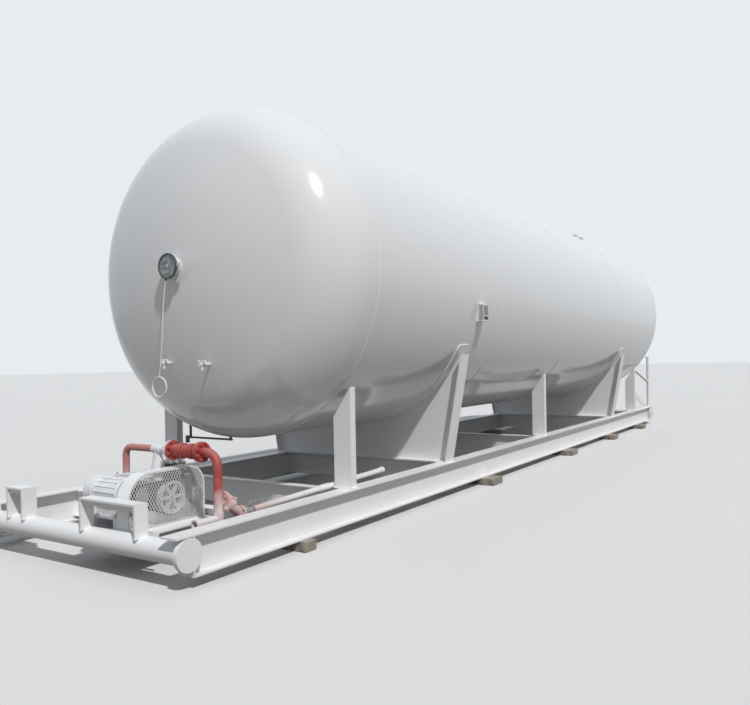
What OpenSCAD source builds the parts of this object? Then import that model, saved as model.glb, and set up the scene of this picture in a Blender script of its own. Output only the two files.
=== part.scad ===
// Horizontal pressure tank on an oilfield-style skid, with a belt-driven transfer set at one end.
// X runs along the tank from the transfer set to the plain end, Y to the back, Z up.
// Places along X are taken from the axis of the front roll pipe, heights from the underside of the rails,
// and place() then moves every piece so that the origin is below the middle of the skid, on the ground.

/* [Vessel] */
// Outside diameter of the vessel
vessel_d = 3353; // [3200:1:3450]
// Wall of the shell and of the heads
shell_t = 19; // [12:1:30]
// Length of one rolled course of the shell
course_len = 2890; // [2600:10:3000]
// Number of courses in the shell
courses = 4; // [3:1:4]
// First girth weld, from the front roll pipe
seam_x = 2040; // [2000:10:2200]
// Vessel axis above the underside of the rails
axis_z = 2437; // [2400:1:2500]
// Straight flange of a head
head_flange = 60; // [40:5:90]
// Depth of the dished part of a head
dish_depth = 880; // [820:10:920]
// Knuckle radius of a head
knuckle_r = 700; // [560:10:760]
// Width of a girth weld bead
bead_w = 24; // [12:1:40]
// Height of a girth weld bead
bead_h = 3; // [1:1:6]

/* [Saddles] */
// Middle of the front saddle, from the front roll pipe
saddle_front_x = 4110; // [4000:10:4200]
// Middle of the back saddle, from the front roll pipe
saddle_back_x = 11390; // [11300:10:11450]
// Width of a saddle's base plate and side flanges
saddle_w = 200; // [150:10:260]
// Thickness of a saddle's web plate
saddle_web_t = 19; // [12:1:25]
// Thickness of a saddle's side flanges
saddle_flange_t = 16; // [10:1:25]
// Thickness of a saddle's base plate
saddle_base_t = 19; // [12:1:25]
// Half width of a saddle at its foot
saddle_foot = 1285; // [1240:5:1310]
// How far a saddle's horns stand out past the ends of its wear plate
saddle_horn = 2.4; // [0:0.1:20]
// How far a saddle's horns end below the ends of its wear plate
horn_z = 107; // [60:1:160]
// Width of a wear plate along the tank
wear_w = 300; // [260:10:400]
// Thickness of a wear plate
wear_t = 12; // [8:1:20]
// Angle from straight down to the end of a wear plate
wear_angle = 64; // [62:0.5:66]
// Corner radius of a wear plate
wear_corner = 55; // [20:5:80]

/* [Skid] */
// Distance between the axes of the two roll pipes
skid_len = 14800; // [14700:10:15000]
// Overall width of the skid
skid_w = 2646; // [2600:1:2700]
// Depth of the side rails
rail_h = 311; // [300:1:330]
// Flange width of the side rails
rail_flange_w = 165; // [150:1:180]
// Flange thickness of the side rails
rail_flange_t = 13; // [10:1:18]
// Web thickness of the side rails
rail_web_t = 8; // [6:1:12]
// Length of flange that runs on past the axis of a roll pipe
rail_overrun = 125; // [100:5:140]
// Where the web and the bottom flange begin, past the axis of a roll pipe
rail_end = 40; // [30:5:60]
// Thickness of the plate that closes the end of a rail
end_plate_t = 12; // [8:1:16]
// Outside diameter of the roll pipes
roll_d = 178; // [160:1:200]
// Wall of the roll pipes
roll_t = 12; // [6:1:16]
// Height of the roll pipes' axes
roll_z = 171; // [165:1:175]
// Diameter of the round end plates of the roll pipes
roll_cap_d = 248; // [220:1:250]
// Thickness of the round end plates
roll_cap_t = 40; // [20:1:42]
// Middle of the cross beam under the deck's back edge, from the front roll pipe
deck_beam_x = 880; // [870:1:890]
// Depth of the cross beams
beam_h = 257; // [200:1:260]
// Flange width of the cross beams
beam_flange_w = 102; // [90:1:110]
// Flange thickness of the cross beams
beam_flange_t = 9; // [7:1:12]
// Web thickness of the cross beams
beam_web_t = 7; // [6:1:10]

/* [Posts] */
// Near face of the front pair of stub posts, from the front roll pipe
post_front_x = 2060; // [2050:1:2080]
// Near face of the middle pair of stub posts
post_mid_x = 7370; // [7300:10:7450]
// Near face of the back pair of stub posts, before the back roll pipe
post_back_x = 1595; // [1570:5:1620]
// Post size across the skid
post_y = 198; // [180:1:200]
// Post size along the skid
post_x = 85; // [80:1:110]
// Wall of a post
post_t = 8; // [5:1:10]
// Gap between the vessel and the outer edge of a post's top
post_top = 84; // [60:1:150]
// Height lost by the slanting cut from the outer to the inner face
post_slant = 290; // [200:5:320]
// Distance from the skid's edge to the outer face of a post
post_inset = 31; // [10:1:40]
// Thickness of a post's foot plate
foot_t = 12; // [8:1:16]
// How far a foot plate stands out along the rail
foot_lap = 14; // [10:1:20]

/* [Support] */
// Middle of the first pair of timbers, from the front roll pipe
block_1_x = 1305; // [1300:5:1500]
// Middle of the second pair of timbers
block_2_x = 5100; // [5000:10:5200]
// Middle of the third pair of timbers
block_3_x = 8290; // [8200:10:8400]
// Middle of the fourth pair of timbers
block_4_x = 10900; // [10800:10:11000]
// Middle of the fifth pair of timbers, before the back roll pipe
block_5_x = 1500; // [1400:10:1600]
// Timber thickness
block_h = 90; // [50:5:120]
// Timber size along the skid
block_x = 300; // [200:10:400]
// Timber size across the skid
block_y = 480; // [300:10:600]
// Size of the first pair of timbers along the skid
first_block_x = 160; // [120:10:300]
// Size of the first pair of timbers across the skid
first_block_y = 300; // [250:10:480]

/* [Transfer set] */
// Height of the deck's upper face
deck_top = 225; // [215:1:235]
// Front edge of the deck plate, from the front roll pipe
deck_front = 60; // [50:5:70]
// Near edge of the deck plate, from the middle of the skid
deck_near = 745; // [735:5:760]
// Far edge of the deck plate, from the middle of the skid
deck_far = 110; // [105:5:150]
// Thickness of the deck plate
deck_t = 12; // [8:1:16]
// Height of the base frame on the deck
base_h = 100; // [90:1:104]
// Motor axis from the front roll pipe
motor_x = 195; // [190:1:200]
// Motor axis height
motor_z = 500; // [498:1:504]
// Motor body radius
motor_r = 122; // [112:1:124]
// Flywheel axis from the front roll pipe
wheel_x = 510; // [506:1:514]
// Flywheel axis height
wheel_z = 437; // [434:1:440]
// Flywheel radius
wheel_r = 135; // [128:1:138]
// Width of the flywheel's rim
rim_w = 52; // [48:1:54]
// Motor sheave radius
sheave_r = 65; // [58:1:68]
// Radius of the shafts
shaft_r = 15; // [12:0.5:18]
// Front face of the belt guard, from the middle of the skid
guard_near = 615; // [613:1:617]
// Depth of the belt guard
guard_depth = 130; // [126:1:134]
// Sheet thickness of the belt guard
guard_t = 3; // [2:0.5:4]

/* [Pipework] */
// Outside diameter of the large pipe
pipe_big = 73; // [70:0.5:76]
// Outside diameter of the small pipe
pipe_small = 60.3; // [56:0.1:62]
// Wall of the pipes
pipe_t = 6; // [3:0.5:8]
// Place of the overhead run and its risers along the skid
run_x = 550; // [548:1:556]
// Height of the overhead run
run_z = 820; // [815:1:830]
// Line along the near rail, from the middle of the skid
line_y = 1058; // [1054:1:1060]
// Height of the line along the near rail at its ball valve
line_z = 300; // [298:1:302]
// Rise of the line away from its valve, in degrees
line_rise = 1.6; // [1.5:0.1:1.8]
// Height of the near riser's branch
branch_z = 427; // [422:1:432]
// Diameter of the two small flanges at the ball valve
small_flange_d = 130; // [120:1:134]
// Back riser, from the middle of the skid
back_riser_y = 50; // [40:5:60]
// Flange diameter
flange_d = 165; // [150:1:168]
// Flange thickness
flange_t = 20; // [16:1:22]
// End of the line along the near rail
line_end = 2970; // [2900:10:3000]

/* [Fittings] */
// Diameter of the level gauge
gauge_d = 240; // [200:5:260]
// Distance from the head to the back of the level gauge
gauge_off = 60; // [50:5:80]
// Depth of the level gauge
gauge_depth = 34; // [30:1:40]
// Diameter of the pull cord
cord_d = 10; // [8:0.5:12]
// Diameter of the pull ring, to the middle of its bar
ring_d = 190; // [180:5:200]
// Height of the relief valves above the shell
relief_h = 240; // [180:10:300]

/* [Hidden] */
$fn = 96;
vessel_fn = 720;

vessel_r = vessel_d / 2;
shell_len = course_len * courses;
seams = [for (i = [0 : courses]) seam_x + i * course_len];
back_seam = seam_x + shell_len;
saddle_xs = [saddle_front_x, saddle_back_x];
wear_r = vessel_r + wear_t;
horn_y = wear_r * sin(wear_angle) + saddle_horn;
horn_top = axis_z - wear_r * cos(wear_angle) - horn_z;
post_xs = [post_front_x, post_mid_x, skid_len - post_back_x];
post_outer = skid_w / 2 - post_inset;
post_height = axis_z - sqrt(vessel_r * vessel_r - post_outer * post_outer) - post_top;
block_xs = [block_1_x, block_2_x, block_3_x, block_4_x, skid_len - block_5_x];
block_sizes = [[first_block_x, first_block_y], for (i = [1 : 4]) [block_x, block_y]];
beam_xs = concat([deck_beam_x], [for (x = post_xs) x + post_x / 2 - 1], saddle_xs);
pole_x = seam_x - head_flange - dish_depth;
beam_top = rail_h - rail_flange_t;
deck_back = deck_beam_x - beam_web_t / 2;
base_z = deck_top + base_h;
wheel_y = -guard_near + 25;
motor_front = -425;
crank_front = -450;
belt_ys = [wheel_y + 7, wheel_y + 21, wheel_y + 35];
belt_w = 9;
valve_x = 606;
ball_x = 806;
stem_x = 860;
gauge_x = pole_x - gauge_off - gauge_depth;
// Route of the pull cord, from the eye under the gauge to the top of the ring
cord_route = [[-6388, 24, 2395], [-6390, 38, 2347], [-6394, 62, 2163], [-6396, 79, 1886], [-6392, 120, 1589],
  [-6388, 142, 1512]];
cord_rings = 46;
web_y = skid_w / 2 - rail_flange_w / 2;
paint = [0.93, 0.93, 0.92];
oxide = [0.68, 0.28, 0.24];
steel = [0.55, 0.56, 0.58];
timber = [0.66, 0.58, 0.45];

// Moves a piece from the skid's own datum to the part's frame
module place()
{
  translate([-skid_len / 2, 0, block_h]) children();
}

// Extrudes a shape drawn in the plane across the skid, Y then Z, along the skid
module across(length)
{
  rotate([90, 0, 90]) linear_extrude(length) children();
}

// Extrudes a shape drawn in the side view, X then Z, towards the back, from y on
module side(y, width)
{
  translate([0, y + width, 0]) rotate([90, 0, 0]) linear_extrude(width) children();
}

// Straight bar of round section from one point along X, Y or Z
module rod_x(x, y, z, r, length)
{
  translate([x, y, z]) rotate([0, 90, 0]) cylinder(h = length, r = r, $fn = r > 1000 ? vessel_fn : $fn);
}

module rod_y(x, y, z, r, length)
{
  translate([x, y + length, z]) rotate([90, 0, 0]) cylinder(h = length, r = r);
}

module rod_z(x, y, z, r, length)
{
  translate([x, y, z]) cylinder(h = length, r = r);
}

// Half outline of a dished head from its tangent line, for turning about the axis
module dish(r, knuckle, depth)
{
  $fn = vessel_fn;
  k = r - knuckle;
  crown = (depth * depth + k * k - knuckle * knuckle) / (2 * (depth - knuckle));
  low = depth - crown;
  reach = sqrt(k * k + low * low);
  tx = k * crown / reach;
  ty = low - low * crown / reach;
  polygon([[0, 0], [k, 0], [tx, ty], [0, ty]]);
  intersection()
  {
    translate([k, 0]) circle(r = knuckle);
    polygon([[k, 0], [r + 1, 0], [r + 1, ty], [tx, ty]]);
  }
  intersection()
  {
    translate([0, low]) circle(r = crown);
    translate([0, ty]) square([r, depth]);
  }
}

// One dished head, opening at its own origin and bulging along -X
module head()
{
  rotate([0, -90, 0]) rotate_extrude($fn = vessel_fn)
  {
    difference()
    {
      translate([0, head_flange]) dish(vessel_r, knuckle_r, dish_depth);
      translate([0, head_flange]) dish(vessel_r - shell_t, knuckle_r - shell_t, dish_depth - shell_t);
    }
    translate([vessel_r - shell_t, 0]) square([shell_t, head_flange]);
  }
}

module vessel_shell()
{
  color(paint) place() translate([seam_x, 0, axis_z]) rotate([0, 90, 0]) difference()
  {
    cylinder(h = shell_len, r = vessel_r, $fn = vessel_fn);
    translate([0, 0, -1]) cylinder(h = shell_len + 2, r = vessel_r - shell_t, $fn = vessel_fn);
  }
}

module front_head()
{
  color(paint) place() translate([seam_x, 0, axis_z]) head();
}

module back_head()
{
  color(paint) place() translate([back_seam, 0, axis_z]) mirror([1, 0, 0]) head();
}

// Raised bead of each weld between courses and heads
module girth_welds()
{
  color(paint) place() for (x = seams) translate([x - bead_w / 2, 0, axis_z]) rotate([0, 90, 0]) difference()
  {
    cylinder(h = bead_w, r = vessel_r + bead_h, $fn = vessel_fn);
    translate([0, 0, -1]) cylinder(h = bead_w + 2, r = vessel_r, $fn = vessel_fn);
  }
}

// Web, base plate and leaning side flanges of one saddle
module saddle(x)
{
  color(paint) place() difference()
  {
    union()
    {
      translate([x - saddle_web_t / 2, 0, 0]) across(saddle_web_t)
        polygon([[-saddle_foot, rail_h], [saddle_foot, rail_h], [horn_y, horn_top], [-horn_y, horn_top]]);
      translate([x - saddle_w / 2, 0, 0]) across(saddle_w) for (s = [-1, 1])
        polygon([[s * saddle_foot, rail_h], [s * horn_y, horn_top],
          [s * (horn_y - saddle_flange_t), horn_top], [s * (saddle_foot - saddle_flange_t), rail_h]]);
      translate([x - saddle_w / 2, -saddle_foot, rail_h]) cube([saddle_w, 2 * saddle_foot, saddle_base_t]);
    }
    rod_x(x - saddle_w, 0, axis_z, wear_r, 2 * saddle_w);
  }
}

// Curved plates between the saddles and the shell, with rounded corners
module wear_plates()
{
  end_z = axis_z - wear_r * cos(wear_angle);
  color(paint) place() for (x = saddle_xs) intersection()
  {
    translate([x - wear_w / 2, 0, axis_z]) across(wear_w) difference()
    {
      circle(r = wear_r, $fn = vessel_fn);
      circle(r = vessel_r, $fn = vessel_fn);
      polygon([[0, 0], [vessel_r * 2, -vessel_r * 2 / tan(wear_angle)], [vessel_r * 2, vessel_r * 2],
        [-vessel_r * 2, vessel_r * 2], [-vessel_r * 2, -vessel_r * 2 / tan(wear_angle)]]);
    }
    side(-vessel_d, 2 * vessel_d) union()
    {
      translate([x - wear_w / 2, 0]) square([wear_w, end_z - wear_corner]);
      translate([x - wear_w / 2 + wear_corner, 0]) square([wear_w - 2 * wear_corner, end_z + wear_corner]);
      for (s = [-1, 1])
          translate([x + s * (wear_w / 2 - wear_corner), end_z - wear_corner]) circle(r = wear_corner);
    }
  }
}

module front_saddle()
{
  saddle(saddle_xs[0]);
}

module back_saddle()
{
  saddle(saddle_xs[1]);
}

// One side rail of wide-flange section, s is its side: the top flange runs on over the roll pipes
module rail(s)
{
  edge = s * web_y - rail_flange_w / 2;
  inside = skid_len - 2 * rail_end;
  color(paint) place() difference()
  {
    union()
    {
      translate([rail_end, s * web_y - rail_web_t / 2, 0]) cube([inside, rail_web_t, rail_h]);
      translate([rail_end, edge, 0]) cube([inside, rail_flange_w, rail_flange_t]);
      translate([-rail_overrun, edge, beam_top])
          cube([skid_len + 2 * rail_overrun, rail_flange_w, rail_flange_t]);
      for (x = [rail_end, skid_len - rail_end - end_plate_t]) translate([x, edge, 0])
        cube([end_plate_t, rail_flange_w, beam_top + 1]);
    }
    for (x = [0, skid_len]) rod_y(x, edge - 1, roll_z, roll_d / 2, rail_flange_w + 2);
    for (x = [0, skid_len]) rod_y(x, s > 0 ? skid_w / 2 - roll_cap_t : -skid_w / 2 - 1, roll_z,
      roll_cap_d / 2, roll_cap_t + 1);
  }
}

module near_rail()
{
  rail(-1);
}

module far_rail()
{
  rail(1);
}

// Roll pipe across one end, closed by thick round plates flush with the rails' edges
module roll_pipe(x)
{
  color(paint) place()
  {
    difference()
    {
      rod_y(x, -skid_w / 2 + roll_cap_t / 2, roll_z, roll_d / 2, skid_w - roll_cap_t);
      rod_y(x, -skid_w / 2 + roll_cap_t, roll_z, roll_d / 2 - roll_t, skid_w - 2 * roll_cap_t);
    }
    rod_y(x, -skid_w / 2, roll_z, roll_cap_d / 2, roll_cap_t);
    rod_y(x, skid_w / 2 - roll_cap_t, roll_z, roll_cap_d / 2, roll_cap_t);
  }
}

module front_roll_pipe()
{
  roll_pipe(0);
}

module back_roll_pipe()
{
  roll_pipe(skid_len);
}

// Cross beams between the webs of the rails, the first one cut out round the line's valve
module cross_beams()
{
  half = web_y - rail_web_t / 2;
  color(paint) place() difference()
  {
    for (x = beam_xs) side(-half, 2 * half)
    {
      translate([x - beam_web_t / 2, beam_top - beam_h]) square([beam_web_t, beam_h]);
      translate([x - beam_flange_w / 2, beam_top - beam_flange_t]) square([beam_flange_w, beam_flange_t]);
      translate([x - beam_flange_w / 2, beam_top - beam_h]) square([beam_flange_w, beam_flange_t]);
    }
    translate([deck_beam_x - beam_flange_w, -line_y - 70, line_z - 50]) cube([2 * beam_flange_w, 140, 100]);
  }
}

// Three stub posts of rectangular tube along each rail, cut on a slant that follows the vessel
module stub_posts()
{
  outer = post_outer;
  inner = outer - post_y;
  color(paint) place() for (s = [-1, 1]) for (x = post_xs)
  {
    translate([x - foot_lap, s > 0 ? inner : -outer - 25, rail_h])
      cube([post_x + 2 * foot_lap, post_y + 25, foot_t]);
    translate([x, 0, 0]) difference()
    {
      across(post_x) polygon([[s * outer, rail_h + foot_t], [s * outer, post_height],
        [s * inner, post_height - post_slant], [s * inner, rail_h + foot_t]]);
      translate([post_t, 0, 0]) across(post_x - 2 * post_t)
        polygon([[s * (outer - post_t), rail_h + 2 * foot_t], [s * (outer - post_t), post_height + 100],
          [s * (inner + post_t), post_height + 100], [s * (inner + post_t), rail_h + 2 * foot_t]]);
    }
  }
}

// Loose timbers that the skid stands on
module timbers()
{
  color(timber) place() for (s = [-1, 1]) for (i = [0 : 4])
    translate([block_xs[i] - block_sizes[i][0] / 2, s * web_y - block_sizes[i][1] / 2, -block_h])
      cube([block_sizes[i][0], block_sizes[i][1], block_h]);
}

// Welded hood on the front roll pipe: top plate, a lip set back under it and two sides that end on the pipe
module hood(y0, y1, top, back)
{
  t = 16;
  front = -92;
  lip = 55;
  set_back = 24;
  foot = 240;
  difference()
  {
    union()
    {
      translate([front, y0, top - t]) cube([back - front, y1 - y0, t]);
      translate([front + set_back, y0 + 1, top - lip]) cube([t, y1 - y0 - 2, lip]);
      for (y = [y0, y1 - t]) translate([front, y, foot]) cube([back - front, t, top - foot]);
    }
    rod_y(0, y0 - 1, roll_z, roll_d / 2, y1 - y0 + 2);
  }
}

module winch_hoods()
{
  color(paint) place()
  {
    hood(590, 820, 505, 45);
    hood(-850, -192, 500, 30);
  }
}

// Tall pipe posts with sloping rails at the back corners of the skid, and the knee plates below them
module end_rails()
{
  post_r = 30;
  bar_r = 26;
  arm_r = 18;
  knee_t = 10;
  x = skid_len - 210;
  top = 1530;
  start = post_xs[2] + post_x;
  bar_z = 1215;
  drop = 310;
  color(paint) place() for (y = [-skid_w / 2 + 38, skid_w / 2 - 38])
  {
    rod_z(x, y, rail_h, post_r, top - rail_h);
    rod_x(x - 150, y, top - arm_r - 4, arm_r, 150);
    side(y - knee_t / 2, knee_t) difference()
    {
      polygon([[start, rail_h], [x - post_r + 2, rail_h], [start, 730]]);
      polygon([[start + 90, rail_h + 60], [start + 700, rail_h + 60], [start + 90, 590]]);
      translate([start - 1, rail_h - 1]) square([foot_lap + 1, foot_t + 1]);
    }
    difference()
    {
      translate([start, y, bar_z]) rotate([0, 90 + atan(drop / (x - start)), 0])
        translate([0, 0, -60]) cylinder(h = norm([x - start, drop]) + 60, r = bar_r);
      translate([start - 200, y - 100, 1000]) cube([200, 200, 400]);
    }
  }
}

// Deck plate between the roll pipe and the first cross beam, with a short bar on edge at its front corner
module deck_plate()
{
  reach = 880;
  color(paint) place() difference()
  {
    union()
    {
      translate([deck_front, -deck_near, deck_top - deck_t])
        cube([deck_back - deck_front, deck_near + deck_far, deck_t]);
      translate([96, -reach, deck_top - deck_t]) cube([10, reach - deck_near + 40, 52]);
    }
    rod_y(0, -reach - 1, roll_z, roll_d / 2, reach + deck_far + 2);
  }
}

// Bars under the deck between the roll pipe and the web of the first cross beam
module deck_bearers()
{
  low = 150;
  color(paint) place() for (y = [-700, -440, -160, deck_far - 60]) difference()
  {
    translate([20, y, low]) cube([deck_back - 20, 60, deck_top - deck_t - low]);
    rod_y(0, y - 1, roll_z, roll_d / 2, 62);
  }
}

// Two bars along the skid with the plates that carry the motor, the crankcase and the cylinder
module set_base()
{
  plate = 14;
  color(paint) place() difference()
  {
    translate([0, 0, deck_top])
    {
      for (y = [-462, -165]) translate([60, y, 0]) cube([768, 60, base_h]);
      for (p = [[75, 245], [400, 215], [705, 70]])
        translate([p[0], -462, base_h - plate]) cube([p[1], 357, plate]);
    }
    rod_y(0, -463, roll_z, roll_d / 2, 400);
  }
}

// Finned motor body on two feet, with its drive end boss and lifting eye
module motor_body()
{
  fin = 7;
  body = 310;
  color(paint) place()
  {
    difference()
    {
      rod_y(motor_x, motor_front, motor_z, motor_r, body);
      rod_y(motor_x, motor_front - 1, motor_z, shaft_r + 1, 6);
    }
    for (a = [20 : 20 : 340]) if (a < 140 || a > 220) translate([motor_x, motor_front + 25, motor_z])
      rotate([0, a, 0]) translate([-2, 0, motor_r - 2]) cube([4, body - 50, fin + 2]);
    for (s = [-1, 1]) translate([motor_x + s * 70 - 18, motor_front + 25, base_z])
      cube([36, body - 50, motor_z - 84 - base_z]);
    difference()
    {
      rod_y(motor_x, motor_front - 40, motor_z, 58, 41);
      rod_y(motor_x, motor_front - 41, motor_z, shaft_r + 1, 60);
    }
    translate([motor_x - 7, -318, motor_z + motor_r - 2]) cube([14, 36, 16]);
    translate([motor_x - 7, -300, motor_z + motor_r + 32]) rotate([0, 90, 0]) difference()
    {
      cylinder(h = 14, r = 22);
      translate([0, 0, -1]) cylinder(h = 16, r = 12);
    }
  }
}

// Round fan cover behind the motor
module motor_fan_cowl()
{
  edge = 26;
  r = motor_r + 6;
  color(paint) place() translate([motor_x, motor_front + 310, motor_z]) rotate([-90, 0, 0]) rotate_extrude()
  {
    square([r, 90]);
    square([r - edge, 90 + edge]);
    intersection()
    {
      translate([r - edge, 90]) circle(r = edge);
      translate([0, 89]) square([r, 90]);
    }
  }
}

module motor_terminal_box()
{
  color(paint) place() difference()
  {
    translate([motor_x + 60, -350, motor_z + 50]) cube([92, 120, 84]);
    rod_y(motor_x, motor_front - 1, motor_z, motor_r + 7.2, 312);
  }
}

// Grooved sheave and the motor's shaft
module motor_sheave()
{
  color(steel) place()
  {
    difference()
    {
      rod_y(motor_x, wheel_y, motor_z, sheave_r, rim_w);
      for (y = belt_ys) difference()
      {
        rod_y(motor_x, y, motor_z, sheave_r + 5, belt_w);
        rod_y(motor_x, y - 1, motor_z, sheave_r - 8, belt_w + 2);
      }
    }
    difference()
    {
      rod_y(motor_x, wheel_y - 12, motor_z, shaft_r, motor_front - 5 - wheel_y + 12);
      rod_y(motor_x, wheel_y + 1, motor_z, shaft_r + 1, rim_w - 2);
    }
  }
}

// Three narrow belts as closed loops round the two rims
module drive_belts()
{
  gap = 5;
  belt = 8;
  color([0.12, 0.12, 0.12]) place() for (y = belt_ys) side(y, belt_w) difference()
  {
    hull()
    {
      translate([motor_x, motor_z]) circle(r = sheave_r + gap + belt);
      translate([wheel_x, wheel_z]) circle(r = wheel_r + gap + belt);
    }
    hull()
    {
      translate([motor_x, motor_z]) circle(r = sheave_r + gap);
      translate([wheel_x, wheel_z]) circle(r = wheel_r + gap);
    }
  }
}

// Spoked flywheel with its hub and the crankshaft's end
module flywheel()
{
  rim = 20;
  hub = 30;
  color(paint) place()
  {
    translate([wheel_x, wheel_y, wheel_z]) rotate([-90, 0, 0])
    {
      difference()
      {
        cylinder(h = rim_w, r = wheel_r);
        translate([0, 0, -1]) cylinder(h = rim_w + 2, r = wheel_r - rim);
      }
      cylinder(h = rim_w, r = hub);
      for (a = [0 : 60 : 300]) rotate([0, 0, a])
        translate([hub - 3, -12, 14]) cube([wheel_r - rim - hub + 6, 24, 24]);
    }
    rod_y(wheel_x, wheel_y - 12, wheel_z, shaft_r, crank_front + 32 - wheel_y + 12);
  }
}

// Crankcase on its foot plate, with the bearing boss bored for the crankshaft
module crankcase()
{
  deep = 250;
  color(paint) place() difference()
  {
    union()
    {
      translate([wheel_x - 80, crank_front, base_z]) cube([160, deep, 235]);
      translate([wheel_x - 100, crank_front, base_z]) cube([200, deep, 18]);
      rod_y(wheel_x, crank_front - 22, wheel_z, 56, 30);
    }
    rod_y(wheel_x, crank_front - 23, wheel_z, shaft_r + 1, 62);
  }
}

// Finned cylinder that lies along the skid, its end plate on a foot, the valve chest on top and its bolts
module cylinder_block()
{
  x = wheel_x + 80;
  y = -325;
  z = 480;
  lid = 660;
  color(steel) place()
  {
    rod_x(x, y, z, 90, 132);
    for (i = [0 : 4]) rod_x(x + 20 + i * 18, y, z, 104, 7);
    translate([x + 130, y - 105, z - 105]) cube([36, 210, 210]);
    translate([x + 136, y - 45, base_z]) cube([24, 90, z - 104 - base_z]);
    translate([x + 50, y - 80, z + 60]) cube([160, 160, lid - z - 60]);
    translate([x + 42, y - 88, lid]) cube([176, 176, 26]);
    for (dx = [-70, 0, 70]) for (dy = [-72, 72]) rod_z(x + 130 + dx, y + dy, lid + 26, 10, 14);
  }
}

// Outline of the guard in the side view, rounded at its upper corners
module guard_outline(grow)
{
  x0 = 36 - grow;
  x1 = 828 + grow;
  z0 = deck_top - grow;
  z1 = 678 + grow;
  r0 = 220 + grow;
  r1 = 160 + grow;
  translate([x0, z0]) square([x1 - x0 - r1, z1 - z0 - r0]);
  translate([x0 + r0, z0]) square([x1 - x0 - r0 - r1, z1 - z0]);
  translate([x1 - r1 - 1, z0]) square([r1 + 1, z1 - z0 - r1]);
  translate([x0 + r0, z1 - r0]) circle(r = r0);
  translate([x1 - r1, z1 - r1]) circle(r = r1);
}

// Rim of the belt guard with a narrow border round its open back, cut out over the roll pipe
module belt_guard()
{
  color(paint) place() difference()
  {
    union()
    {
      side(-guard_near + 3, guard_depth - 3) difference()
      {
        guard_outline(0);
        guard_outline(-guard_t);
      }
      side(-guard_near + guard_depth - guard_t, guard_t) difference()
      {
        guard_outline(-guard_t);
        guard_outline(-25);
      }
    }
    rod_y(0, -guard_near, roll_z, roll_d / 2, guard_depth + 1);
  }
}

// Face of the guard: a flat border and crossed bars of coarse expanded metal
module guard_mesh()
{
  pitch = 66;
  bar = 4;
  border = 14;
  color(paint) place() side(-guard_near, 3) difference()
  {
    intersection()
    {
      guard_outline(0);
      union()
      {
        for (s = [-1, 1]) for (i = [-10 : 10]) translate([435 + i * pitch, 450]) rotate([0, 0, s * 62])
          square([900, bar], center = true);
        difference()
        {
          guard_outline(0);
          guard_outline(-border);
        }
      }
    }
    translate([0, roll_z]) circle(d = roll_d);
  }
}

// Quarter bend that starts straight up from its origin and ends level towards +X
module elbow(d, bend)
{
  translate([bend, 0, 0]) rotate([90, 0, 0]) rotate([0, 0, 90]) rotate_extrude(angle = 90)
    translate([bend, 0]) circle(d = d);
}

// Round flange on a pipe that runs along X
module flange_x(x, z, d, t)
{
  rod_x(x, -line_y, z, d / 2, t);
}

module flange_y(y)
{
  rod_y(run_x, y, run_z, flange_d / 2, flange_t);
}

// Back riser, its bend and the run of small pipe up to the tee
module back_riser()
{
  bend = 75;
  r = pipe_small / 2;
  color(oxide) place()
  {
    rod_z(run_x, back_riser_y, deck_top, r, run_z - bend - deck_top);
    translate([run_x, back_riser_y, run_z - bend]) rotate([0, 0, -90]) elbow(pipe_small, bend);
    rod_y(run_x, -315, run_z, r, 315 + back_riser_y - bend);
  }
}

// Tee with its cone and flange down to the crankcase, and the flange that bolts to the strainer
module tee_branch()
{
  r = pipe_small / 2;
  y = -360;
  top = base_z + 235;
  color(paint) place()
  {
    rod_y(run_x, -522, run_z, r, 192);
    rod_y(run_x, y - 45, run_z, 39, 90);
    rod_z(run_x, y, run_z - 42, 34, 42);
    translate([run_x, y, top + 90]) cylinder(h = run_z - 42 - top - 90, r1 = 60, r2 = 34);
    rod_z(run_x, y, top + 68, 74, 22);
    rod_z(run_x, y, top, 38, 68);
    flange_y(-540);
  }
}

// Ribbed strainer body between two flanges of its own
module line_strainer()
{
  y0 = -880;
  y1 = -540;
  color(oxide) place()
  {
    flange_y(y0);
    flange_y(y1 - flange_t);
    rod_y(run_x, y0 + flange_t, run_z, 52, y1 - y0 - 2 * flange_t);
    for (y = [y0 + 70, y0 + 104, y0 + 190, y0 + 224]) rod_y(run_x, y, run_z, 64, 14);
    for (y = [y0 + 84, y0 + 204]) rod_y(run_x, y, run_z, 58, 20);
  }
}

// Flange, bend and riser of large pipe, its closed foot with an open nipple, the branch to the rail's line
module front_riser()
{
  bend = 114;
  foot = 262;
  nipple = 255;
  r = pipe_big / 2;
  color(oxide) place()
  {
    flange_y(-900);
    rod_y(run_x, -line_y + bend, run_z, r, line_y - bend - 898);
    translate([run_x, -line_y, run_z - bend]) rotate([0, 0, 90]) elbow(pipe_big, bend);
    rod_z(run_x, -line_y, foot, r, run_z - bend - foot);
    rod_z(run_x, -line_y, foot, r + 5, 88);
    rod_x(run_x, -line_y, branch_z, r - 2, valve_x - run_x - 1);
    flange_x(valve_x - 18, branch_z, flange_d, 18);
    difference()
    {
      union()
      {
        rod_x(run_x - nipple, -line_y, foot + 38, r - 4, nipple);
        rod_x(run_x - nipple, -line_y, foot + 38, r + 3, 50);
      }
      rod_x(run_x - nipple - 1, -line_y, foot + 38, r - 10, 61);
    }
  }
}

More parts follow.
